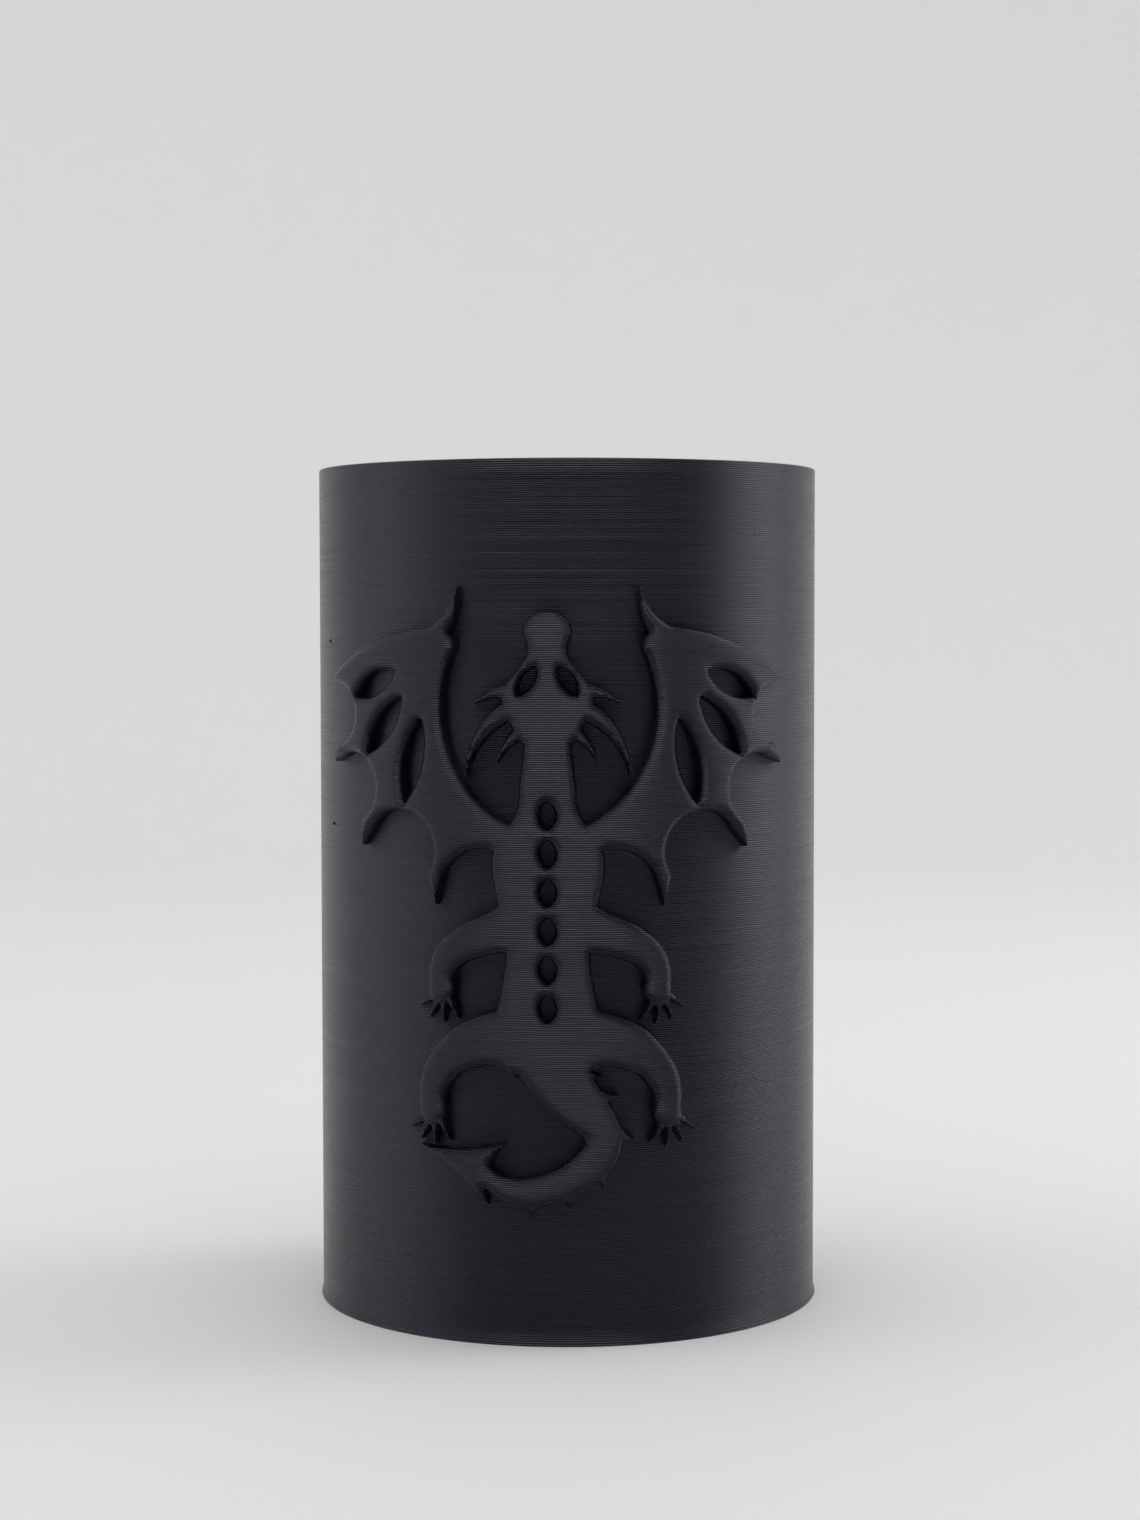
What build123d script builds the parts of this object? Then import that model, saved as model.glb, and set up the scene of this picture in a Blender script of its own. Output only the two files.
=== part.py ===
from build123d import *
import os
from math import ceil, cos, radians, sin, tan

# Dice tower: a printed round tower with a raised dragon on its front (-Y) and an exit arch at its
# back (+Y). A spiral flight of separate treads is stacked on a hexagonal post and lifts out of the top.
# Millimetres. The origin is on the tower's axis, in the plane that it stands on; +Z is up.

# ---- tower shell
TOWER_RADIUS = 36.0
TOWER_HEIGHT = 120.0
WALL = 2.4
BORE_RADIUS = TOWER_RADIUS - WALL
RIM_BEVEL = 0.3
FOOT_FLARE = 0.25
FOOT_HEIGHT = 0.6

# ---- raised dragon on the wall; the turn is in degrees from the front
RELIEF_HEIGHT = 2.0
RELIEF_TURN = -4.2
WALL_SAMPLE = 1.0
SPLIT_MARGIN = 1.0

# ---- its wings: fingers fan out from the wrist, each one longer than the last; shares are of a finger
WRIST_X = 15.5
WRIST_Y = 94.5
KNUCKLE = 3.0
FINGERS = 4
FIRST_FINGER = -12.0
FINGER_FAN = 26.0
SHORT_FINGER = 21.5
FINGER_GROWTH = 4.4
FINGER_WIDTH = 2.4
WEB_SHARE = 0.88
WEB_SAG = 0.2
PANEL_FROM = 0.3
PANEL_TO = 0.66
PANEL_WIDTH = 3.0

# ---- its back, feet and tail
BACK_SLOTS = 6
BACK_SLOT_TOP = 74.0
BACK_SLOT_STEP = 5.2
BACK_SLOT_LENGTH = 3.7
BACK_SLOT_WIDTH = 2.0
TOES = 4
TOE_SPREAD = 84.0
TOE_HEADING = -78.0
SPINE_SIZE = 2.2
BARB_LENGTH = 9.6

# ---- exit at the back
PLATE_THICKNESS = 2.4
ARCH_WIDTH = 32.0
ARCH_SPRING = 18.0
RAMP_FROM = 47.5
RAMP_TO = 133.5
RAMP_LIP = 1.0
RAMP_SLOPE = 28.0
CATCH_THICKNESS = 2.4
CATCH_TOP = 56.0

# ---- post, treads and knob
HEX_ACROSS = 9.0
SOCKET_GAP = 0.3
BORE_GAP = 0.1
HUB_RADIUS = 8.5
STACK_BASE = 12.0
TREAD_COUNT = 14
TREAD_TURN = 30.0
TREAD_RISE = 6.0
TREAD_OVERLAP = 3.0
TREAD_TILT = 9.0
TREAD_REACH = BORE_RADIUS - 0.4
FIRST_TREAD_ANGLE = 135.0
STACK_TOP = STACK_BASE + TREAD_COUNT * TREAD_RISE
POST_TOP = STACK_TOP + 12.0
KNOB_RADIUS = 9.0
KNOB_NECK = 7.0
KNOB_CENTRE = STACK_TOP + 12.0

UPRIGHT = (Align.CENTER, Align.CENTER, Align.MIN)


def disc(radius, bottom, top):
    """A plain round slab on the axis."""
    return Pos(0, 0, bottom) * Cylinder(radius, top - bottom, align=UPRIGHT)


def sector(inner, outer, start, end, bottom, top):
    """A slice of a ring between two angles, measured from +X towards +Y."""
    profile = Polyline((inner, 0, bottom), (outer, 0, bottom), (outer, 0, top), (inner, 0, top), close=True)
    return revolve(make_face(profile), Axis.Z, end - start).rotate(Axis.Z, start)


def hexagon(across, bottom, top, turn=0.0):
    """A hexagonal bar on the axis, sized across its flats."""
    outline = RegularPolygon(across / 2, 6, major_radius=False, rotation=turn)
    return extrude(Pos(0, 0, bottom) * outline, top - bottom)


# ---------------------------------------------------------------- the dragon, drawn flat
# x is the distance round the wall from the drawing's centre line, and y is the height above the table.
# A plain emblem dragon, spread out and seen from above: the same on both sides, down to its hips.


def closed(*stretches):
    """A face inside a closed run of lines, arcs and splines, always facing up."""
    edges = [edge for stretch in stretches for edge in stretch.edges()]
    face = Face(Wire(edges))
    return face if face.normal_at().Z > 0 else -face


def leaf(start, end, width):
    """A slot with pointed ends, made of two arcs."""
    middle = (Vector(*start) + Vector(*end)) / 2
    across = (Vector(*end) - Vector(*start)).rotate(Axis.Z, 90).normalized() * (width / 2)
    return closed(
        ThreePointArc(start, middle + across, end),
        ThreePointArc(end, middle - across, start),
    )


def thorn(root, reach, bend, width):
    """A curved point that grows from root by the vector reach and bows sideways by bend."""
    base = Vector(*root)
    tip = base + Vector(*reach)
    across = Vector(*reach).rotate(Axis.Z, 90).normalized()
    left = base + across * (width / 2)
    right = base - across * (width / 2)
    return closed(
        Line(right, left),
        ThreePointArc(left, (left + tip) / 2 + across * bend, tip),
        ThreePointArc(tip, (right + tip) / 2 + across * bend, right),
    )


def taper(points, girths, count):
    """Both edges of a tapering limb: a spline through points, with half-widths eased between them."""
    path = Spline(*points)
    stations = [path.param_at_point(Vector(*point)) for point in points]
    left = []
    right = []
    for i in range(count + 1):
        t = i / count
        k = max(j for j in range(len(points) - 1) if stations[j] <= t + 1e-9)
        f = (t - stations[k]) / (stations[k + 1] - stations[k])
        half = girths[k] + (girths[k + 1] - girths[k]) * f * f * (3 - 2 * f)
        across = (path % t).rotate(Axis.Z, 90)
        left.append(path @ t + across * half)
        right.append(path @ t - across * half)
    return left, right


def between(left, right):
    """The face between a limb's two edges."""
    return closed(
        Spline(*left),
        Line(left[-1], right[-1]),
        Spline(*reversed(right)),
        Line(right[0], left[0]),
    )


def limb(points, girths):
    left, right = taper(points, girths, 8)
    return between(left, right)


def paw(wrist, heading, toes, spread, reach):
    """A round foot with clawed toes fanned out about its heading."""
    width = reach * 0.42
    foot = Pos(*wrist) * Circle(width).face()
    for i in range(toes):
        angle = heading + spread * (i / (toes - 1) - 0.5)
        foot += thorn(wrist, tuple(Vector(reach, 0).rotate(Axis.Z, angle)), 0.25, width)
    return foot


def wing(side):
    """A spread wing: an arm, a thumb claw, fingers fanned from the wrist and scalloped webs between them."""

    def at(x, y):
        return Vector(side * x, y)

    def spoke(finger, length):
        """A point that far from the wrist, in line with a finger or with the gap after it."""
        angle = radians(FIRST_FINGER - FINGER_FAN * finger)
        return at(WRIST_X + length * cos(angle), WRIST_Y + length * sin(angle))

    def finger_length(finger):
        return SHORT_FINGER + FINGER_GROWTH * finger

    def web_end(finger, beside):
        """Where a web meets a finger's claw, before the finger (-1) or after it (+1)."""
        middle = spoke(finger, WEB_SHARE * finger_length(finger))
        along = (middle - wrist).normalized()
        return middle - along.rotate(Axis.Z, 90) * (side * beside * FINGER_WIDTH / 2)

    wrist = at(WRIST_X, WRIST_Y)
    tips = [spoke(finger, finger_length(finger)) for finger in range(FINGERS)]
    shoulder = at(3, 70)
    armpit = at(4, 57)
    crook = at(WRIST_X - KNUCKLE, WRIST_Y)
    knuckle_top = at(WRIST_X, WRIST_Y + KNUCKLE)
    edge = [
        Line(armpit, shoulder),
        ThreePointArc(shoulder, at(13.0, 79.5), crook),
        ThreePointArc(crook, at(WRIST_X - 0.7 * KNUCKLE, WRIST_Y + 0.7 * KNUCKLE), knuckle_top),
        ThreePointArc(knuckle_top, (knuckle_top + tips[0]) / 2 + at(0.8, 1.4), tips[0]),
    ]
    for finger in range(FINGERS):
        near = web_end(finger, 1)
        far = web_end(finger + 1, -1) if finger + 1 < FINGERS else armpit
        middle = (near + far) / 2
        edge.append(Line(tips[finger], near))
        edge.append(ThreePointArc(near, middle + (wrist - middle) * WEB_SAG, far))
        if finger + 1 < FINGERS:
            edge.append(Line(far, tips[finger + 1]))
    membrane = closed(*edge)
    membrane += thorn(knuckle_top - at(0, 1), at(-3.2, 6.4), side * 0.9, 3.2)
    for gap in range(FINGERS - 1):
        reach = finger_length(gap + 0.5)
        start = spoke(gap + 0.5, PANEL_FROM * reach)
        end = spoke(gap + 0.5, PANEL_TO * reach)
        membrane -= leaf(start, end, PANEL_WIDTH)
    return membrane


def head():
    """The head from above: a blunt wedge with brows, cheek points, two swept horns and two eyes."""
    half = closed(
        Line((0, 78), (0, 99.4)),
        ThreePointArc((0, 99.4), (2.4, 98.6), (3.3, 96.4)),
        Spline((3.3, 96.4), (2.9, 93.4), (4.6, 91.0), (6.2, 87.6)),
        ThreePointArc((6.2, 87.6), (5.0, 84.4), (3.2, 81.6)),
        Line((3.2, 81.6), (3.2, 78)),
        Line((3.2, 78), (0, 78)),
    )
    half += thorn((4.0, 86.6), (7.0, -9.4), 1.7, 3.4)
    half += thorn((4.6, 88.8), (5.4, -1.8), 0.5, 2.4)
    half += thorn((3.0, 83.6), (3.8, -4.6), 0.5, 2.2)
    half -= leaf((1.6, 92.0), (3.8, 88.2), 1.7)
    return half + mirror(half, Plane.YZ)


def spines(edge, first, last, size):
    """Small thorns along the left edge of the tail, leaning towards its tip."""
    row = []
    for i in range(first, last + 1, 2):
        along = (edge[i + 1] - edge[i - 1]).normalized()
        outward = along.rotate(Axis.Z, 90)
        root = edge[i] - outward * (0.3 * size)
        reach = outward * size + along * (0.6 * size)
        row.append(thorn(tuple(root), tuple(reach), -0.12 * size, 0.9 * size))
    return row


def barb(base, heading, length):
    """The arrowhead at the end of the tail."""
    across = heading.rotate(Axis.Z, 90) * (0.46 * length)
    point = base + heading * length
    upper = base + across - heading * (0.24 * length)
    lower = base - across - heading * (0.24 * length)
    return closed(
        ThreePointArc(upper, (upper + point) / 2 - across * 0.16, point),
        ThreePointArc(point, (lower + point) / 2 + across * 0.16, lower),
        ThreePointArc(lower, base - heading * (0.1 * length), upper),
    )


def trunk():
    """Neck, shoulders, waist and hips in line, and a tail in two bends with a barbed point."""
    spine = ((0, 82), (0, 74), (0, 66), (0, 54), (0, 44), (2.6, 35.0), (7.4, 28.6), (1.0, 22.0), (-9, 24.2))
    girths = (3.2, 3.9, 7.6, 5.6, 6.8, 3.8, 2.6, 2.1, 1.3)
    left, right = taper(spine, girths, 36)
    shape = between(left, right)
    for point in spines(left, 22, 32, SPINE_SIZE):
        shape += point
    shape += barb(Vector(*spine[-1]), Vector(-1, 0.3).normalized(), BARB_LENGTH)
    return shape


def legs(side):
    """A foreleg and a hind leg on one side, bent out from the body, with clawed feet."""

    def at(x, y):
        return (side * x, y)

    fore = limb((at(2, 58.6), at(8.6, 55.8), at(13.6, 53.0), at(14.6, 48.8)), (4.2, 2.7, 2.2, 1.8))
    hind = limb((at(2, 41), at(9.4, 41.4), at(14.8, 37.6), at(16.0, 32.2)), (5.0, 3.4, 2.4, 1.9))
    heading = TOE_HEADING if side > 0 else 180 - TOE_HEADING
    return [
        fore, paw(at(14.6, 48.6), heading, TOES, TOE_SPREAD, 4.8),
        hind, paw(at(16.0, 32.0), heading, TOES, TOE_SPREAD, 5.0),
    ]


def dragon():
    """The whole flat drawing as one face with slots."""
    shape = trunk() + head()
    for side in (1, -1):
        for piece in [wing(side)] + legs(side):
            shape += piece
    for i in range(BACK_SLOTS):
        top = BACK_SLOT_TOP - BACK_SLOT_STEP * i
        shape -= leaf((0, top), (0, top - BACK_SLOT_LENGTH), BACK_SLOT_WIDTH)
    return max(shape.faces(), key=lambda face: face.area)


# ---------------------------------------------------------------- the dragon, raised on the wall


def on_tower(point, radius):
    """Where a point of the flat drawing lies on a cylinder, distances being true on the wall."""
    angle = radians(RELIEF_TURN) + point.X / TOWER_RADIUS
    return Vector(radius * sin(angle), -radius * cos(angle), point.Y)


def runs_of(wire):
    """Each edge of a flat outline as a run of points, every run starting where the last one ends."""
    runs = []
    for edge in wire.order_edges():
        count = max(3, ceil(edge.length / WALL_SAMPLE))
        runs.append([edge @ (i / count) for i in range(count + 1)])

    def gap(point, run):
        return min((point - run[0]).length, (point - run[-1]).length)

    if gap(runs[0][0], runs[1]) < gap(runs[0][-1], runs[1]):
        runs[0].reverse()
    for before, run in zip(runs, runs[1:]):
        if (run[0] - before[-1]).length > (run[-1] - before[-1]).length:
            run.reverse()
        run[0] = before[-1]
    runs[-1][-1] = runs[0][0]
    return runs


def fence(wire):
    """Walls square to the cylinder that stand along a flat outline and cross the relief's surface."""
    inside = TOWER_RADIUS - SPLIT_MARGIN
    outside = TOWER_RADIUS + RELIEF_HEIGHT + SPLIT_MARGIN
    walls = []
    for run in runs_of(wire):
        low = Edge.make_spline([on_tower(point, inside) for point in run])
        high = Edge.make_spline([on_tower(point, outside) for point in run])
        walls.append(Face.make_surface_from_curves(low, high))
    return Shell(walls)


def relief():
    """The dragon's outer surface cut from a cylinder, then thickened down to the wall."""
    drawing = dragon()
    barrel = disc(TOWER_RADIUS + RELIEF_HEIGHT, 0, TOWER_HEIGHT)
    surface = barrel.faces().filter_by(GeomType.CYLINDER)[0]
    background_and_dragon = surface.split(fence(drawing.outer_wire()), keep=Keep.ALL)
    surface = sorted(background_and_dragon, key=lambda face: face.area)[-2]
    for slot in drawing.inner_wires():
        surface = max(surface.split(fence(slot), keep=Keep.ALL), key=lambda face: face.area)
    return Solid.thicken(surface, -RELIEF_HEIGHT)


# ---------------------------------------------------------------- the pieces


def tower_shell():
    """The printed tube: flared first layers, bevelled rim, exit arch, and the dragon in one with it."""
    profile = Polyline(
        (BORE_RADIUS, 0, 0),
        (TOWER_RADIUS + FOOT_FLARE, 0, 0),
        (TOWER_RADIUS + FOOT_FLARE, 0, FOOT_HEIGHT / 2),
        (TOWER_RADIUS, 0, FOOT_HEIGHT),
        (TOWER_RADIUS, 0, TOWER_HEIGHT - RIM_BEVEL),
        (TOWER_RADIUS - RIM_BEVEL, 0, TOWER_HEIGHT),
        (BORE_RADIUS + RIM_BEVEL, 0, TOWER_HEIGHT),
        (BORE_RADIUS, 0, TOWER_HEIGHT - RIM_BEVEL),
        close=True,
    )
    tube = revolve(make_face(profile), Axis.Z, 360)
    door = Pos(0, (PLATE_THICKNESS + ARCH_SPRING) / 2) * Rectangle(ARCH_WIDTH, ARCH_SPRING - PLATE_THICKNESS)
    door += Pos(0, ARCH_SPRING) * Circle(ARCH_WIDTH / 2)
    facing_back = Plane(origin=(0, 0, 0), x_dir=(-1, 0, 0), z_dir=(0, 1, 0))
    arch = extrude(facing_back * door, TOWER_RADIUS * 2)
    return tube.solids()[0].fuse(relief()).cut(arch.solids()[0])


def base_plate():
    """The floor pressed into the tube, with a boss that holds the post's foot."""
    plate = disc(BORE_RADIUS, 0, PLATE_THICKNESS) + disc(HUB_RADIUS, PLATE_THICKNESS, STACK_BASE)
    return plate - hexagon(HEX_ACROSS + 2 * SOCKET_GAP, PLATE_THICKNESS, STACK_BASE)


def exit_ramp():
    """A wedge that turns dice out through the arch."""
    inner = HUB_RADIUS + SOCKET_GAP
    outer = BORE_RADIUS - SOCKET_GAP
    lip = PLATE_THICKNESS + RAMP_LIP
    high = lip + outer * tan(radians(RAMP_SLOPE))
    side = Polyline(
        (0, 0, PLATE_THICKNESS),
        (0, outer, PLATE_THICKNESS),
        (0, outer, lip),
        (0, 0, high),
        close=True,
    )
    slope = extrude(make_face(side), TOWER_RADIUS, both=True, dir=(1, 0, 0))
    return sector(inner, outer, RAMP_FROM, RAMP_TO, PLATE_THICKNESS, high) & slope


def catch_wall():
    """An upright panel at the end of the ramp that stops dice from running on under the stairs."""
    inner = HUB_RADIUS + SOCKET_GAP
    outer = BORE_RADIUS - SOCKET_GAP
    panel = Box(
        outer - inner,
        CATCH_THICKNESS,
        CATCH_TOP - PLATE_THICKNESS,
        align=(Align.MIN, Align.MAX, Align.MIN),
    )
    trim = disc(outer, PLATE_THICKNESS, CATCH_TOP)
    return (Pos(inner, 0, PLATE_THICKNESS) * panel).rotate(Axis.Z, RAMP_FROM) & trim


def centre_post():
    return hexagon(HEX_ACROSS, PLATE_THICKNESS + SOCKET_GAP, POST_TOP)


def stair_tread(number):
    """A wedge step on a hub. Its twelve-pointed bore fits the post every 30 degrees."""
    bottom = STACK_BASE + (number - 1) * TREAD_RISE
    top = bottom + TREAD_RISE
    start = FIRST_TREAD_ANGLE + (number - 1) * TREAD_TURN
    step = sector(HUB_RADIUS - 1, TREAD_REACH, 0, TREAD_TURN + TREAD_OVERLAP, bottom, top)
    planer = Box(2 * TOWER_RADIUS, 2 * TOWER_RADIUS, TREAD_RISE, align=(Align.CENTER, Align.MAX, Align.MIN))
    tilted = (Rot(TREAD_TILT, 0, 0) * planer).rotate(Axis.Z, TREAD_TURN)
    step -= Pos(0, 0, top) * tilted
    bore_across = HEX_ACROSS + 2 * BORE_GAP
    bore = hexagon(bore_across, bottom, top) + hexagon(bore_across, bottom, top, 30)
    hub = disc(HUB_RADIUS, bottom, top)
    return (step + hub - bore.rotate(Axis.Z, -start)).rotate(Axis.Z, start)


def lift_knob():
    """A ball knob that caps the stack and lifts the whole staircase out."""
    neck_height = KNOB_CENTRE - (KNOB_RADIUS ** 2 - KNOB_NECK ** 2) ** 0.5
    profile = make_face([
        Polyline((0, 0, STACK_TOP), (HUB_RADIUS, 0, STACK_TOP), (HUB_RADIUS, 0, STACK_TOP + 1.5)),
        ThreePointArc(
            (HUB_RADIUS, 0, STACK_TOP + 1.5),
            (KNOB_NECK + 0.3, 0, STACK_TOP + 3.4),
            (KNOB_NECK, 0, neck_height),
        ),
        ThreePointArc(
            (KNOB_NECK, 0, neck_height),
            (KNOB_RADIUS, 0, KNOB_CENTRE),
            (0, 0, KNOB_CENTRE + KNOB_RADIUS),
        ),
        Line((0, 0, KNOB_CENTRE + KNOB_RADIUS), (0, 0, STACK_TOP)),
    ])
    socket = hexagon(HEX_ACROSS + 2 * BORE_GAP, STACK_TOP, POST_TOP + SOCKET_GAP)
    return revolve(profile, Axis.Z, 360) - socket


pieces = {
    "tower_shell": tower_shell(),
    "base_plate": base_plate(),
    "exit_ramp": exit_ramp(),
    "catch_wall": catch_wall(),
    "centre_post": centre_post(),
    "lift_knob": lift_knob(),
}
for number in range(1, TREAD_COUNT + 1):
    pieces[f"stair_tread_{number:02d}"] = stair_tread(number)

os.makedirs("parts", exist_ok=True)
for name, piece in pieces.items():
    export_step(piece, f"parts/{name}.step")
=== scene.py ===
"""Looks for the dice tower: a dark printed tube with a raised dragon, round a stack of printed treads.

The tower shell is rebuilt here as one fine mesh: the dragon's outline is read from the frame's own
shell, and the relief gets the rolled edges and the layers of a print. Metres, and the frame's axes.
"""

import math
import random

import bmesh
import bpy
import numpy as np
from mathutils import Matrix, Vector
from mathutils.geometry import delaunay_2d_cdt


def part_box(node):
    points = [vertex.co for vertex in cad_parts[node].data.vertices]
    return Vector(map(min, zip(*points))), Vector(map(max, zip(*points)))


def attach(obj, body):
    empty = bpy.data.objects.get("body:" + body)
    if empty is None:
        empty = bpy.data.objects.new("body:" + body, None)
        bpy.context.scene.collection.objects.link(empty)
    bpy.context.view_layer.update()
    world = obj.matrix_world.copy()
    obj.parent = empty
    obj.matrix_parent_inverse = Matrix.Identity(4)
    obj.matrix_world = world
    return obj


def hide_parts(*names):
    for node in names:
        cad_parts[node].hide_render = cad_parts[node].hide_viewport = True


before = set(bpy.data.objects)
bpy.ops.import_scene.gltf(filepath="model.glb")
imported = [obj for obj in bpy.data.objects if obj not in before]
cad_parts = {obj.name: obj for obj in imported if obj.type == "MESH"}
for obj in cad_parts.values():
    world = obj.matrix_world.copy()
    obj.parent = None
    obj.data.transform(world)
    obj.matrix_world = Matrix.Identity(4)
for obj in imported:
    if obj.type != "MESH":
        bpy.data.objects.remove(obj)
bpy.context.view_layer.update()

MM = 0.001

# ---- sizes read from the frame
SHELL_LOW, SHELL_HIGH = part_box("tower_shell")
FOOT_FLARE = 0.25 * MM
TOWER_RADIUS = SHELL_HIGH.x - FOOT_FLARE
TOWER_HEIGHT = SHELL_HIGH.z
BORE_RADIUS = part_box("base_plate")[1].x
RELIEF_HEIGHT = -SHELL_LOW.y - TOWER_RADIUS

# ---- print
LAYER = 0.3 * MM
FOOT_HEIGHT = 0.7 * MM
RIM_ROUND = 0.3 * MM
RIM_STEPS = 3
INSERT_ROUND = 0.25 * MM
SHARP_ANGLE = math.radians(40)

# ---- the seam: width and wander in radians round the tower, height in layer beads
SEAM_ANGLE = math.radians(-38)
SEAM_WIDTH = 0.012
SEAM_WANDER = 0.02
SEAM_HEIGHT = 1.6

# ---- noise: cells to the metre, the range of it that is used, and how far apart two layers lie in it
STREAK_RATE = 22.0
PATCH_RATE = 70.0
GRAIN_RATE = 2600.0
STREAK_RANGE = (0.3, 0.7)
BAND_RANGE = (0.35, 0.65)
STREAK_APART = 5.37
BAND_APART = 0.83
WANDER_APART = 3.1

# ---- how high the beads stand, as shares of the material's depth
BEAD_PLAIN = 0.75
BEAD_BY_STREAK = 0.2
BEAD_BY_BAND = 0.25
BEAD_ON_RELIEF = 0.65
BEAD_LEAN = 0.45
RASTER_HEIGHT = 0.5

# ---- where things change: level faces by their normal's upright part, the dragon by its height off the wall
LEVEL_FROM = 0.93
LEVEL_TO = 0.97
RELIEF_FROM = 0.3 * MM
RELIEF_TO = 1.6 * MM
RASTER = 0.64 * MM
GRAIN_DEPTH = 0.012 * MM

# ---- how light and how rough the plastic is
TONE_BY_STREAK = 0.35
TONE_BY_PATCH = 0.25
TONE_BY_BAND = 0.25
# share of the tone left in the valleys between beads, where shade is painted
TONE_LEFT_IN_PAINTED_VALLEY_SHADE = 0.3
ROUGH_BY_GRAIN = 0.12
ROUGH_STREAK_LOW = -0.02
ROUGH_STREAK_HIGH = 0.04
ROUGH_BY_BAND = 0.02
PLA_IOR = 1.46
# a bluish tint on the reflections, painted to give the sides the blue cast of the lamps
PAINTED_BLUE_LIGHT_TINT = (0.82, 0.79, 1.0)

# ---- blobs on the wall, which keep clear of the dragon and the exit; the angle is in radians from the front
SPECKS = 22
SPECK_SEED = 7
SPECK_SMALL = 0.14 * MM
SPECK_LARGE = 0.3 * MM
SPECK_MARGIN = 4 * MM
SPECK_GAP = 3 * MM
DRAGON_ANGLE = 1.15
DRAGON_LOW = 16 * MM
DRAGON_HIGH = 104 * MM

# ---- camera
CAMERA_DISTANCE = 0.4256
CAMERA_HEIGHT = 0.0987
CAMERA_PITCH = math.radians(-2.81)
CAMERA_YAW = -0.00094
CAMERA_ROLL = 0.0016
CAMERA_LENS = 68.9
CAMERA_SENSOR = 36

# ---- studio
TENT_RADIUS = 1.3
TENT_CURVE = 0.6
TENT_HEIGHT = 1.2
TENT_SIDES = 96
TENT_STEPS = 20
CLOTH_STEPS = 24
PAPER_ROUGHNESS = 0.7
PAPER_SHADE = 0.985
SKY_COLOUR = (1, 0.99, 0.995)
SKY_BRIGHTNESS = 0.85

# ---- mesh of the shell: the unrolled wall is cut open at CUT_ANGLE, clear of the dragon and the exit
CUT_ANGLE = math.radians(105)
TOP_SHARE = 0.98
COLUMNS = 240
ROW = 2.4 * MM
OUTLINE_STEP = 0.35 * MM
EDGE_SHARE = 0.42
ROLL = 1.3 * MM
RINGS = (0.1 * MM, 0.28 * MM, 0.55 * MM, 0.9 * MM, ROLL)
CLEAR_INSIDE = ROLL + 0.4 * MM
CLEAR_OUTSIDE = 0.8 * MM
CROWDED = 0.2 * OUTLINE_STEP
RING_SHARE = 0.96
OUTLINE_GRID = 0.01 * MM
WELD_GRID = 0.002 * MM
JOIN = 0.005 * MM
JOIN_MM = 0.0001
CHUNK = 2000

# ---- exit arch, as wide and as high as the frame's
ARCH_HALF = 16 * MM
ARCH_SILL = 2.4 * MM
ARCH_SPRING = 18 * MM
ARCH_ROUND = 0.3 * MM
ARCH_STEPS = 40


# ---- meshes


def smooth_object(name, mesh, material):
    """An object of the mesh, in the scene, shaded smooth."""
    mesh.polygons.foreach_set("use_smooth", [True] * len(mesh.polygons))
    mesh.materials.append(material)
    mesh.update()
    piece = bpy.data.objects.new(name, mesh)
    bpy.context.scene.collection.objects.link(piece)
    return piece


def new_piece(name, verts, faces, material):
    """A mesh object made of plain lists."""
    mesh = bpy.data.meshes.new(name)
    mesh.from_pydata([tuple(v) for v in verts], [], faces)
    mesh.validate()
    return smooth_object(name, mesh, material)


def on_wall(s, z, radius):
    """A point at the distance s round the outer wall from the front (-Y), at any radius."""
    angle = s / TOWER_RADIUS
    return (radius * math.sin(angle), -radius * math.cos(angle), z)


# ---- the dragon's outline


def relief_loops():
    """The closed edges of the raised surface on the frame's shell, as runs of (s, z)."""
    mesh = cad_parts["tower_shell"].data
    co = np.empty(len(mesh.vertices) * 3)
    mesh.vertices.foreach_get("co", co)
    co = co.reshape(-1, 3)
    raised = np.hypot(co[:, 0], co[:, 1]) > TOWER_RADIUS + TOP_SHARE * RELIEF_HEIGHT
    flat = np.c_[np.arctan2(co[:, 0], -co[:, 1]) * TOWER_RADIUS, co[:, 2]]
    keys = [tuple(k) for k in np.round(flat / OUTLINE_GRID).astype(int)]
    following = {}
    for face in mesh.polygons:
        if not all(raised[i] for i in face.vertices):
            continue
        ring = [keys[i] for i in face.vertices]
        for a, b in zip(ring, ring[1:] + ring[:1]):
            if a in following.get(b, ()):
                following[b].discard(a)
            elif a != b:
                following.setdefault(a, set()).add(b)
    loops = []
    while any(following.values()):
        start = next(k for k in following if following[k])
        loop = [start]
        while True:
            step = following[loop[-1]].pop()
            if step == start:
                break
            loop.append(step)
        loops.append(np.array(loop) * OUTLINE_GRID)
    return [loop for loop in loops if len(loop) > 3]


def resampled(loop):
    """The loop with long edges divided and crowded points dropped."""
    points = []
    for a, b in zip(loop, np.roll(loop, -1, axis=0)):
        length = np.hypot(*(b - a))
        if points and np.hypot(*(a - points[-1])) < CROWDED:
            continue
        count = max(1, round(length / OUTLINE_STEP))
        points.extend(a + (b - a) * i / count for i in range(count))
    return np.array(points)


def distance_to(points, loops):
    """How far each point is from the nearest edge of any loop."""
    starts = np.concatenate(loops)
    ends = np.concatenate([np.roll(loop, -1, axis=0) for loop in loops])
    along = ends - starts
    square = (along ** 2).sum(1)
    best = np.empty(len(points))
    for first in range(0, len(points), CHUNK):
        part = points[first:first + CHUNK, None]
        t = (((part - starts) * along).sum(2) / square).clip(0, 1)
        gap = part - starts - t[..., None] * along
        best[first:first + CHUNK] = np.sqrt((gap ** 2).sum(2).min(1))
    return best


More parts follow.
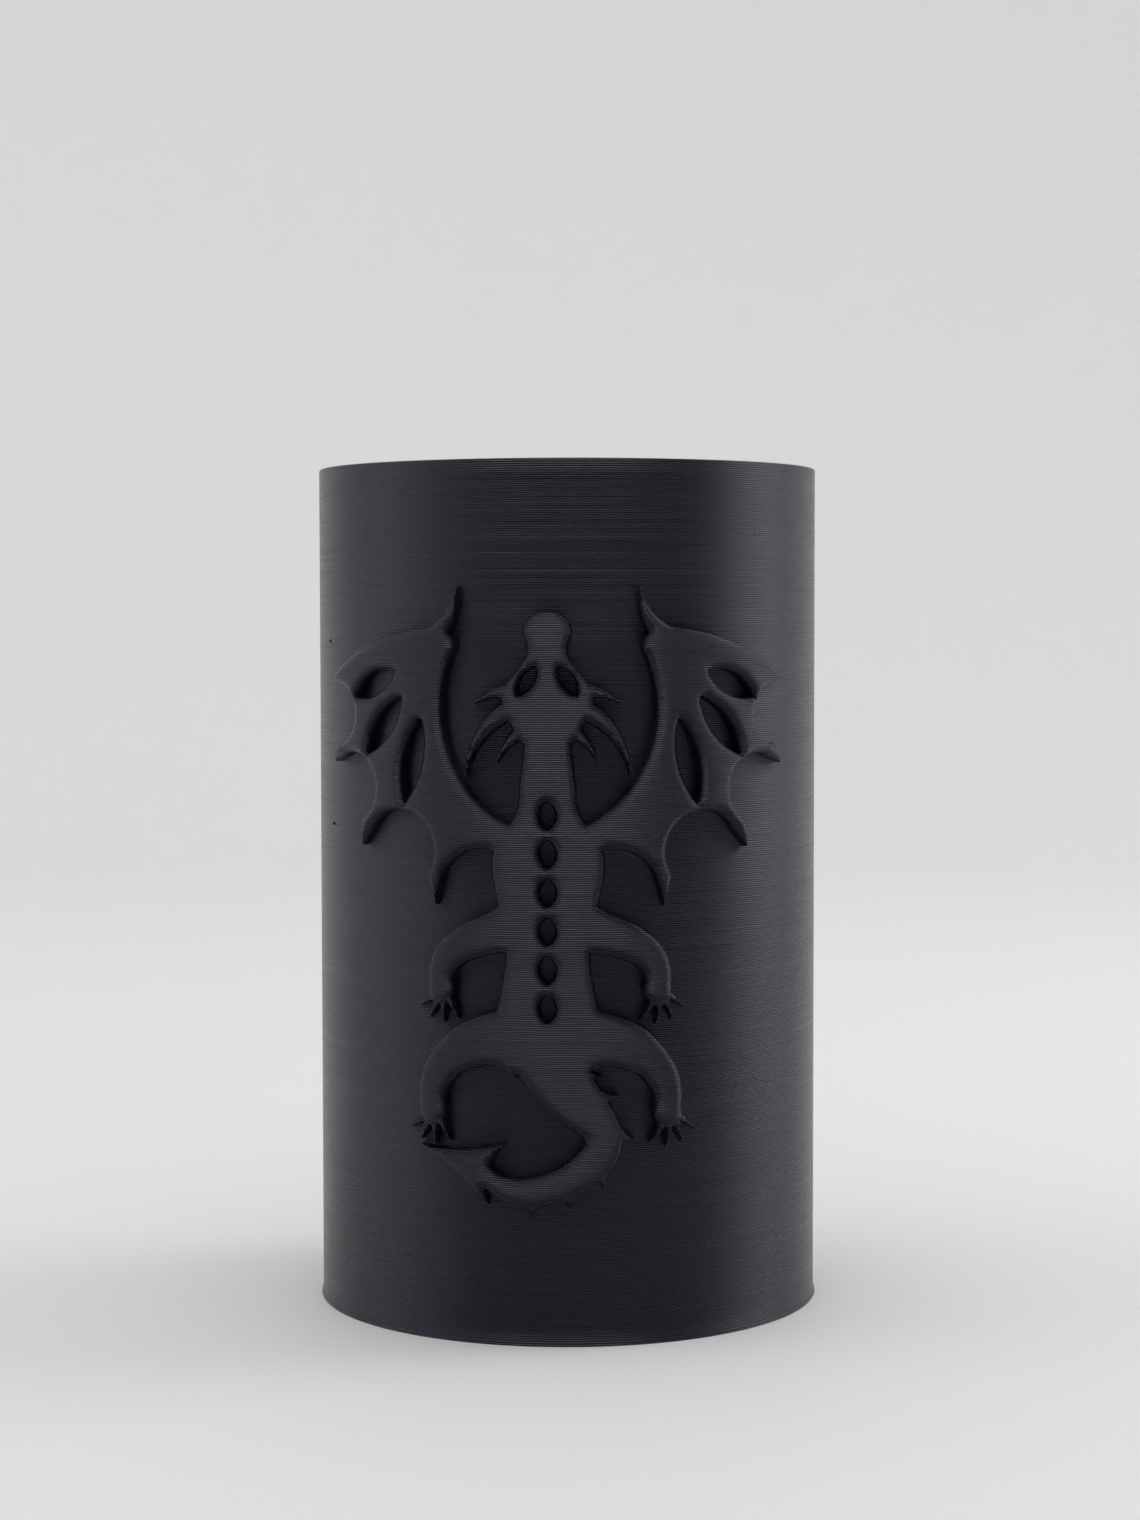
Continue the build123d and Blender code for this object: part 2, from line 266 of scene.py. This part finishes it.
def inside(points, loops):
    """Whether each point is inside the loops, by counting the edges to its right."""
    starts = np.concatenate(loops)
    ends = np.concatenate([np.roll(loop, -1, axis=0) for loop in loops])
    count = np.zeros(len(points), int)
    for (ax, ay), (bx, by) in zip(starts, ends):
        crosses = (ay > points[:, 1]) != (by > points[:, 1])
        if crosses.any():
            x = ax + (points[:, 1] - ay) / (by - ay + 1e-18) * (bx - ax)
            count += crosses & (points[:, 0] < x)
    return count % 2 == 1


def ring_points(loops):
    """Points that follow the outline at each ring's distance, inside the dragon."""
    found = []
    for ring in RINGS:
        for loop in loops:
            back = loop - np.roll(loop, 1, axis=0)
            ahead = np.roll(loop, -1, axis=0) - loop
            along = back / np.hypot(*back.T)[:, None] + ahead / np.hypot(*ahead.T)[:, None]
            along /= np.hypot(*along.T)[:, None] + 1e-12
            inward = np.c_[-along[:, 1], along[:, 0]]
            candidates = loop + inward * ring
            fits = distance_to(candidates, loops) > RING_SHARE * ring
            found.append(candidates[fits & inside(candidates, loops)])
    return np.concatenate(found)


# ---- the shell


def arch_outline(radius, grow):
    """The exit's edge on a cylinder as (s, z): sill, two sides and a half round, made larger by grow."""
    half = ARCH_HALF + grow
    turns = [math.pi * i / ARCH_STEPS for i in range(ARCH_STEPS + 1)]
    points = [(half * math.cos(turn), ARCH_SPRING + half * math.sin(turn)) for turn in turns]
    points += [(half * (2 * i / ARCH_STEPS - 1), ARCH_SILL - grow) for i in range(ARCH_STEPS + 1)]
    centre = -math.pi * TOWER_RADIUS
    return np.array([(centre + math.asin(x / radius) * TOWER_RADIUS, z) for x, z in points])


def relief_height(distance):
    """An upright edge that rolls over into the flat top."""
    rest = 1 - (distance / ROLL).clip(0, 1)
    return RELIEF_HEIGHT * (EDGE_SHARE + (1 - EDGE_SHARE) * np.sqrt(1 - rest ** 2))


def grid_points(bottom, top):
    """Points in columns and rows over the unrolled wall."""
    cut = CUT_ANGLE * TOWER_RADIUS
    s = np.linspace(cut - 2 * math.pi * TOWER_RADIUS, cut, COLUMNS + 1)
    z = np.linspace(bottom, top, round((top - bottom) / ROW) + 1)
    columns, rows = np.meshgrid(s, z)
    return np.c_[columns.ravel(), rows.ravel()]


def triangulated(grid, loops, free):
    """Triangles over the grid's rectangle that follow the loops' edges, worked out in millimetres."""
    near = MM / 10
    on_edge = ((grid < grid.min(axis=0) + near) | (grid > grid.max(axis=0) - near)).any(axis=1)
    apart = distance_to(grid, loops) > CLEAR_OUTSIDE
    points = [grid[on_edge | apart], free] + loops
    edges = []
    first = len(points[0]) + len(free)
    for loop in loops:
        edges += [(first + i, first + (i + 1) % len(loop)) for i in range(len(loop))]
        first += len(loop)
    coords = [Vector(p) for p in np.concatenate(points) / MM]
    verts, _, faces, _, _, _ = delaunay_2d_cdt(coords, edges, [], 0, JOIN_MM, False)
    return np.array(verts)[:, :2] * MM, np.array(faces)


class Weld:
    """Collects faces and gives the same index to points that coincide."""

    def __init__(self):
        self.index = {}
        self.verts = []
        self.faces = []

    def add(self, point):
        """The point's index, a new one if no point lies there yet."""
        key = tuple(round(c / WELD_GRID) for c in point)
        if key not in self.index:
            self.index[key] = len(self.verts)
            self.verts.append(point)
        return self.index[key]

    def face(self, points):
        ring = [self.add(p) for p in points]
        ring = [a for a, b in zip(ring, ring[1:] + ring[:1]) if a != b]
        if len(ring) > 2:
            self.faces.append(ring)

    def band(self, low, high, closed=True):
        """Quads between two rows of points."""
        count = len(low) if closed else len(low) - 1
        for i in range(count):
            j = (i + 1) % len(low)
            self.face((low[i], low[j], high[j], high[i]))


def ring_at(radius, z):
    """One ring of the tube's columns."""
    turns = [CUT_ANGLE + 2 * math.pi * i / COLUMNS for i in range(COLUMNS)]
    return [(radius * math.sin(turn), -radius * math.cos(turn), z) for turn in turns]


def dragon_wall(weld):
    """The outside of the tube with the relief on it and the arch left open."""
    outline = [resampled(loop) for loop in relief_loops()]
    arch = arch_outline(TOWER_RADIUS, ARCH_ROUND)
    grid = grid_points(FOOT_HEIGHT, TOWER_HEIGHT - RIM_ROUND)
    in_relief = inside(grid, outline)
    crowded = in_relief & (distance_to(grid, outline) < CLEAR_INSIDE)
    flat, faces = triangulated(grid[~crowded], outline + [arch], ring_points(outline))
    centres = flat[faces].mean(axis=1)
    raised = inside(centres, outline)
    open_here = inside(centres, [arch])
    height = relief_height(distance_to(flat, outline))
    foot = [on_wall(s, z, TOWER_RADIUS) for s, z in flat]
    top = [on_wall(s, z, TOWER_RADIUS + h) for (s, z), h in zip(flat, height)]
    sides = {}
    for face, up, gone in zip(faces, raised, open_here):
        if gone:
            continue
        level = top if up else foot
        weld.face([level[i] for i in face])
        for a, b in zip(face, np.roll(face, -1)):
            sides.setdefault((min(a, b), max(a, b)), []).append((up, a, b))
    for pair in sides.values():
        if len(pair) == 2 and pair[0][0] != pair[1][0]:
            _, a, b = pair[0] if pair[0][0] else pair[1]
            weld.face([foot[a], foot[b], top[b], top[a]])


def bore_wall(weld):
    """The inside of the tube."""
    arch = arch_outline(BORE_RADIUS, ARCH_ROUND)
    flat, faces = triangulated(grid_points(0, TOWER_HEIGHT - RIM_ROUND), [arch], np.empty((0, 2)))
    open_here = inside(flat[faces].mean(axis=1), [arch])
    points = [on_wall(s, z, BORE_RADIUS) for s, z in flat]
    for face, gone in zip(faces, open_here):
        if not gone:
            weld.face([points[i] for i in face[::-1]])


def tube_ends(weld):
    """The rounded rim, and the first layers that spread on the bed."""
    quarter = [math.pi / 2 * i / RIM_STEPS for i in range(RIM_STEPS + 1)]
    shoulder = TOWER_HEIGHT - RIM_ROUND
    rim = [
        (TOWER_RADIUS - RIM_ROUND + RIM_ROUND * math.cos(turn), shoulder + RIM_ROUND * math.sin(turn))
        for turn in quarter
    ]
    rim += [
        (BORE_RADIUS + RIM_ROUND - RIM_ROUND * math.sin(turn), shoulder + RIM_ROUND * math.cos(turn))
        for turn in quarter
    ]
    foot = [
        (BORE_RADIUS, 0),
        (TOWER_RADIUS + FOOT_FLARE / 2, 0),
        (TOWER_RADIUS + FOOT_FLARE, FOOT_HEIGHT * 0.2),
        (TOWER_RADIUS + FOOT_FLARE * 0.7, FOOT_HEIGHT * 0.6),
        (TOWER_RADIUS, FOOT_HEIGHT),
    ]
    for profile in (rim, foot):
        for (r0, z0), (r1, z1) in zip(profile, profile[1:]):
            weld.band(ring_at(r0, z0), ring_at(r1, z1))


def arch_edge(weld):
    """The cut through the wall at the exit, with its corners rounded."""
    stations = (
        (TOWER_RADIUS, ARCH_ROUND),
        (TOWER_RADIUS - 0.3 * ARCH_ROUND, 0.3 * ARCH_ROUND),
        (TOWER_RADIUS - ARCH_ROUND, 0),
        (BORE_RADIUS + ARCH_ROUND, 0),
        (BORE_RADIUS + 0.3 * ARCH_ROUND, 0.3 * ARCH_ROUND),
        (BORE_RADIUS, ARCH_ROUND),
    )
    rings = [[on_wall(s, z, radius) for s, z in arch_outline(radius, grow)] for radius, grow in stations]
    for outer, inner in zip(rings, rings[1:]):
        weld.band(outer, inner)


def tower_shell(material):
    """The printed tube in one closed mesh, in place of the frame's plain one."""
    weld = Weld()
    dragon_wall(weld)
    bore_wall(weld)
    tube_ends(weld)
    arch_edge(weld)
    piece = new_piece("printed_shell", weld.verts, weld.faces, material)
    turn_outward(piece)
    piece.data.set_sharp_from_angle(angle=SHARP_ANGLE)
    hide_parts("tower_shell")
    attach(piece, "tower")


def turn_outward(piece):
    """Joins points that all but coincide, and makes every face of the closed mesh look outward."""
    work = bmesh.new()
    work.from_mesh(piece.data)
    bmesh.ops.remove_doubles(work, verts=work.verts, dist=JOIN)
    bmesh.ops.recalc_face_normals(work, faces=work.faces)
    loose = [edge for edge in work.edges if not edge.is_manifold]
    print("shell:", len(work.verts), "vertices,", len(work.faces), "faces,", len(loose), "open edges")
    work.to_mesh(piece.data)
    work.free()


# ---- materials


class Shader:
    """Short ways to add and join nodes in one material."""

    def __init__(self, name):
        self.material = bpy.data.materials.new(name)
        self.material.use_nodes = True
        self.nodes = self.material.node_tree.nodes
        self.links = self.material.node_tree.links
        self.surface = self.nodes["Principled BSDF"]

    def put(self, socket, value):
        """Joins an output to the socket, or sets the socket to a plain value."""
        if isinstance(value, bpy.types.NodeSocket):
            self.links.new(value, socket)
        else:
            socket.default_value = value

    def math(self, operation, *values):
        node = self.nodes.new("ShaderNodeMath")
        node.operation = operation
        for socket, value in zip(node.inputs, values):
            self.put(socket, value)
        return node.outputs[0]

    def plus(self, a, b):
        return self.math("ADD", a, b)

    def minus(self, a, b):
        return self.math("SUBTRACT", a, b)

    def times(self, a, b):
        return self.math("MULTIPLY", a, b)

    def parts(self, vector):
        """The vector's three numbers."""
        node = self.nodes.new("ShaderNodeSeparateXYZ")
        self.put(node.inputs[0], vector)
        return node.outputs

    def vector(self, x, y, z):
        node = self.nodes.new("ShaderNodeCombineXYZ")
        for socket, value in zip(node.inputs, (x, y, z)):
            self.put(socket, value)
        return node.outputs[0]

    def noise(self, place, scale, detail=2.0, roughness=0.5):
        node = self.nodes.new("ShaderNodeTexNoise")
        self.put(node.inputs["Vector"], place)
        self.put(node.inputs["Scale"], scale)
        self.put(node.inputs["Detail"], detail)
        self.put(node.inputs["Roughness"], roughness)
        return node.outputs["Fac"]

    def spread(self, value, low, high, new_low, new_high):
        """The value carried from the range low to high over to the range new_low to new_high."""
        node = self.nodes.new("ShaderNodeMapRange")
        names = ("Value", "From Min", "From Max", "To Min", "To Max")
        for name, setting in zip(names, (value, low, high, new_low, new_high)):
            self.put(node.inputs[name], setting)
        return node.outputs[0]

    def ramp(self, value, dark, light):
        """A colour between two."""
        node = self.nodes.new("ShaderNodeMix")
        node.data_type = "RGBA"
        self.put(node.inputs["Factor"], value)
        self.put(node.inputs["A"], (*dark, 1))
        self.put(node.inputs["B"], (*light, 1))
        return node.outputs["Result"]

    def bump(self, height, distance, strength, below=None):
        node = self.nodes.new("ShaderNodeBump")
        self.put(node.inputs["Height"], height)
        self.put(node.inputs["Distance"], distance)
        self.put(node.inputs["Strength"], strength)
        if below is not None:
            self.put(node.inputs["Normal"], below)
        return node.outputs["Normal"]


def bead(shader, position):
    """A row of rounded beads with sharp valleys, one per whole number."""
    off_centre = shader.minus(shader.math("FRACT", position), 0.5)
    return shader.minus(1.0, shader.times(shader.times(off_centre, off_centre), 4.0))


def seam(shader, x, y, index):
    """The upright line where each layer starts, which wanders a little from layer to layer."""
    wander = shader.noise(shader.vector(0.0, 0.0, shader.times(index, WANDER_APART)), 1.0, 1.0)
    line = shader.plus(shader.times(wander, SEAM_WANDER), SEAM_ANGLE)
    off_line = shader.minus(shader.math("ARCTAN2", x, y), line)
    return shader.spread(shader.math("ABSOLUTE", off_line), 0.0, SEAM_WIDTH, 1.0, 0.0)


def filament(name, dark, light, rough, depth):
    """Printed PLA: layer beads, streaks, bands of layers, a seam, a raster on level faces, grain, and shade
    painted into the valleys between beads.
    """
    shader = Shader(name)
    plus, minus, times = shader.plus, shader.minus, shader.times
    coordinates = shader.nodes.new("ShaderNodeTexCoord").outputs["Object"]
    x, y, z = shader.parts(coordinates)
    layer = shader.math("DIVIDE", z, LAYER)
    index = shader.math("FLOOR", layer)
    beads = bead(shader, layer)

    # what varies: along one layer, from layer to layer, over the whole print, and very finely
    by_layer = shader.vector(times(x, STREAK_RATE), times(y, STREAK_RATE), times(index, STREAK_APART))
    streak = shader.spread(shader.noise(by_layer, 1.0, 2.0), *STREAK_RANGE, 0.0, 1.0)
    by_height = shader.vector(0.0, 0.0, times(index, BAND_APART))
    band = shader.spread(shader.noise(by_height, 1.0, 3.0, 0.7), *BAND_RANGE, 0.0, 1.0)
    patch = shader.noise(coordinates, PATCH_RATE, 3.0)
    grain = shader.noise(coordinates, GRAIN_RATE, 2.0, 0.6)

    # where: level faces, and the raised dragon, whose layers show more
    normal = shader.nodes.new("ShaderNodeNewGeometry").outputs["True Normal"]
    upright = shader.math("ABSOLUTE", shader.parts(normal)[2])
    level = shader.spread(upright, LEVEL_FROM, LEVEL_TO, 0.0, 1.0)
    radius = shader.math("SQRT", plus(times(x, x), times(y, y)))
    on_relief = shader.spread(radius, TOWER_RADIUS + RELIEF_FROM, TOWER_RADIUS + RELIEF_TO, 0.0, 1.0)
    raised = plus(times(on_relief, BEAD_ON_RELIEF), 1.0)

    # height: upright faces get beads that lean a little either way, level faces get the raster
    bead_height = plus(plus(times(streak, BEAD_BY_STREAK), times(band, BEAD_BY_BAND)), BEAD_PLAIN)
    lean = times(times(minus(streak, 0.5), BEAD_LEAN), minus(shader.math("FRACT", layer), 0.5))
    walls = times(plus(times(beads, bead_height), lean), raised)
    walls = plus(walls, times(seam(shader, x, y, index), SEAM_HEIGHT))
    tops = times(bead(shader, shader.math("DIVIDE", plus(x, y), RASTER)), RASTER_HEIGHT)
    height = plus(times(walls, minus(1.0, level)), times(tops, level))

    # colour, with painted shade that darkens it in the valleys between the beads
    tone_and_painted_shade = plus(times(streak, TONE_BY_STREAK), times(patch, TONE_BY_PATCH))
    tone_and_painted_shade = plus(tone_and_painted_shade, times(band, TONE_BY_BAND))
    tone_and_painted_shade = times(tone_and_painted_shade, plus(times(beads, 1.0 - TONE_LEFT_IN_PAINTED_VALLEY_SHADE), TONE_LEFT_IN_PAINTED_VALLEY_SHADE))
    shader.put(shader.surface.inputs["Base Color"], shader.ramp(tone_and_painted_shade, dark, light))

    # gloss, which changes from streak to streak, layer to layer and grain to grain
    by_streak = shader.spread(streak, 0.0, 1.0, rough + ROUGH_STREAK_LOW, rough + ROUGH_STREAK_HIGH)
    by_band = shader.spread(band, 0.0, 1.0, ROUGH_BY_BAND, -ROUGH_BY_BAND)
    by_grain = times(minus(grain, 0.5), ROUGH_BY_GRAIN)
    shader.put(shader.surface.inputs["Roughness"], plus(plus(by_grain, by_streak), by_band))
    shader.put(shader.surface.inputs["IOR"], PLA_IOR)
    # the reflections carry the painted blue cast of the lamps
    shader.put(shader.surface.inputs["Specular Tint"], (*PAINTED_BLUE_LIGHT_TINT, 1))
    fine = shader.bump(grain, GRAIN_DEPTH, 0.5)
    shader.put(shader.surface.inputs["Normal"], shader.bump(height, depth, 1.0, fine))
    return shader.material


def matt_paper(name, colour):
    """One even colour with barely visible clouds, for the tent and its dark cloth."""
    shader = Shader(name)
    coordinates = shader.nodes.new("ShaderNodeTexCoord").outputs["Object"]
    cloud = shader.noise(coordinates, 2.0, 3.0)
    darker = tuple(c * PAPER_SHADE for c in colour)
    shader.put(shader.surface.inputs["Base Color"], shader.ramp(cloud, darker, colour))
    shader.put(shader.surface.inputs["Roughness"], PAPER_ROUGHNESS)
    return shader.material


# ---- the frame's own pieces


def dress_cad_nodes(material):
    """The post, treads, knob, floor, ramp and catch wall keep their shape and get printed edges."""
    for name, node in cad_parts.items():
        if name == "tower_shell":
            continue
        node.data.materials.clear()
        node.data.materials.append(material)
        weld = node.modifiers.new("weld", "WELD")
        weld.merge_threshold = JOIN
        soften = node.modifiers.new("soften", "BEVEL")
        soften.width = INSERT_ROUND
        soften.segments = 2
        soften.limit_method = "ANGLE"
        soften.angle_limit = SHARP_ANGLE


def speck_places(draw):
    """Where the blobs sit, as angle from the front and height: scattered, and along the seam."""
    low, high = SPECK_MARGIN, TOWER_HEIGHT - SPECK_MARGIN
    places = [(draw.uniform(-math.pi, math.pi), draw.uniform(low, high)) for _ in range(SPECKS)]
    low, high = SPECK_MARGIN / 2, TOWER_HEIGHT - SPECK_MARGIN / 2
    for _ in range(SPECKS):
        angle = math.pi - SEAM_ANGLE + draw.gauss(0, SEAM_WIDTH / 2)
        places.append((angle, draw.uniform(low, high)))
    return places


def print_specks(material):
    """Small blobs of filament on the outer wall, and along the seam where each layer starts."""
    draw = random.Random(SPECK_SEED)
    work = bmesh.new()
    for angle, height in speck_places(draw):
        from_back = abs(abs(angle) - math.pi) * TOWER_RADIUS
        reach = ARCH_HALF + SPECK_GAP
        on_arch = from_back < reach and height < ARCH_SPRING + reach
        under_dragon = abs(angle) < DRAGON_ANGLE and DRAGON_LOW < height < DRAGON_HIGH
        if on_arch or under_dragon:
            continue
        size = draw.uniform(SPECK_SMALL, SPECK_LARGE)
        spin = Matrix.Rotation(angle, 4, "Z") @ Matrix.Translation((0, -TOWER_RADIUS, height))
        squash = Matrix.Diagonal((draw.uniform(0.8, 1.5), 0.8, draw.uniform(0.7, 1.2), 1))
        bmesh.ops.create_icosphere(work, subdivisions=2, radius=size, matrix=spin @ squash)
    mesh = bpy.data.meshes.new("print_specks")
    work.to_mesh(mesh)
    work.free()
    piece = smooth_object("print_specks", mesh, material)
    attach(piece, "tower")


# ---- studio


def tower_collection():
    """Every piece of the tower, so that one light can leave the floor alone."""
    pieces = bpy.data.collections.new("tower_only")
    own = [bpy.data.objects[name] for name in ("printed_shell", "print_specks")]
    for thing in list(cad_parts.values()) + own:
        pieces.objects.link(thing)
    return pieces


def tent(material):
    """A pale floor that curves up into a round wall, the same from every side."""
    profile = [(0.0, 0.0), (0.1, 0.0), (0.3, 0.0)]
    for i in range(TENT_STEPS + 1):
        turn = math.pi / 2 * i / TENT_STEPS
        radius = TENT_RADIUS - TENT_CURVE + TENT_CURVE * math.sin(turn)
        profile.append((radius, TENT_CURVE * (1 - math.cos(turn))))
    profile.append((TENT_RADIUS, TENT_HEIGHT))
    turns = [2 * math.pi * i / TENT_SIDES for i in range(TENT_SIDES)]
    rings = [[(r * math.cos(t), r * math.sin(t), z) for t in turns] for r, z in profile]
    weld = Weld()
    for low, high in zip(rings, rings[1:]):
        weld.band(low, high)
    new_piece("tent", weld.verts, weld.faces, material)


def soft_light(name, place, width, height, watts, only=None):
    """A soft box aimed at the tower that the camera doesn't see; it may light one collection alone."""
    lamp = bpy.data.lights.new(name, "AREA")
    lamp.shape = "RECTANGLE"
    lamp.size = width
    lamp.size_y = height
    lamp.energy = watts
    light = bpy.data.objects.new(name, lamp)
    light.location = place
    aim = Vector((0, 0, TOWER_HEIGHT / 2)) - Vector(place)
    light.rotation_euler = aim.to_track_quat("-Z", "Y").to_euler()
    light.visible_camera = False
    light.light_linking.receiver_collection = only
    bpy.context.scene.collection.objects.link(light)


def dark_cloth(material, radius, start, end, top):
    """The tent's dark opening in front, in degrees from the front, which only the reflections show."""
    turns = [math.radians(start + (end - start) * i / CLOTH_STEPS) for i in range(CLOTH_STEPS + 1)]
    weld = Weld()
    rows = [[(radius * math.sin(t), -radius * math.cos(t), z) for t in turns] for z in (MM, top)]
    weld.band(rows[0], rows[1], closed=False)
    cloth = new_piece("dark_cloth", weld.verts, weld.faces, material)
    cloth.visible_camera = False
    cloth.visible_diffuse = False
    cloth.visible_shadow = False


def studio(tower):
    """The tent, its dark opening, four soft boxes and an even sky."""
    tent(matt_paper("pale_sheet", (0.86, 0.855, 0.858)))
    dark_cloth(matt_paper("black_cloth", (0.008, 0.008, 0.01)), radius=0.62, start=-48, end=80, top=1.0)
    soft_light("left_box", (-0.75, -0.05, 0.35), width=0.5, height=0.6, watts=0.7)
    soft_light("right_box", (0.73, 0.17, 0.44), width=0.4, height=0.6, watts=1.8)
    soft_light("top_box", (0, -0.1, 1.1), width=0.5, height=0.5, watts=0.6)
    soft_light("rim_box", (0, -0.16, 0.9), width=0.7, height=0.2, watts=3.0, only=tower)
    world = bpy.data.worlds.new("sky")
    world.use_nodes = True
    background = world.node_tree.nodes["Background"]
    background.inputs["Color"].default_value = (*SKY_COLOUR, 1)
    background.inputs["Strength"].default_value = SKY_BRIGHTNESS
    bpy.context.scene.world = world
    bpy.context.scene.view_settings.view_transform = "Standard"


def camera():
    """A camera in front, a little above the tower's middle."""
    data = bpy.data.cameras.new("camera")
    data.sensor_width = CAMERA_SENSOR
    data.lens = CAMERA_LENS
    eye = bpy.data.objects.new("camera", data)
    eye.location = (0, -CAMERA_DISTANCE, CAMERA_HEIGHT)
    eye.rotation_euler = (math.pi / 2 + CAMERA_PITCH, CAMERA_ROLL, CAMERA_YAW)
    bpy.context.scene.collection.objects.link(eye)
    bpy.context.scene.camera = eye


# ---- the scene

shell_pla = filament(
    "shell_pla",
    dark=(0.0018, 0.0017, 0.0032),
    light=(0.0062, 0.0058, 0.0095),
    rough=0.31,
    depth=0.054 * MM,
)
# the treads' filament, a lighter grey than the shell's black: painted light, so the dim inside doesn't read
# as flat black
insert_pla = filament(
    "insert_pla",
    dark=(0.011, 0.0105, 0.014),
    light=(0.027, 0.026, 0.033),
    rough=0.38,
    depth=0.06 * MM,
)
tower_shell(shell_pla)
dress_cad_nodes(insert_pla)
print_specks(shell_pla)
studio(tower_collection())
camera()
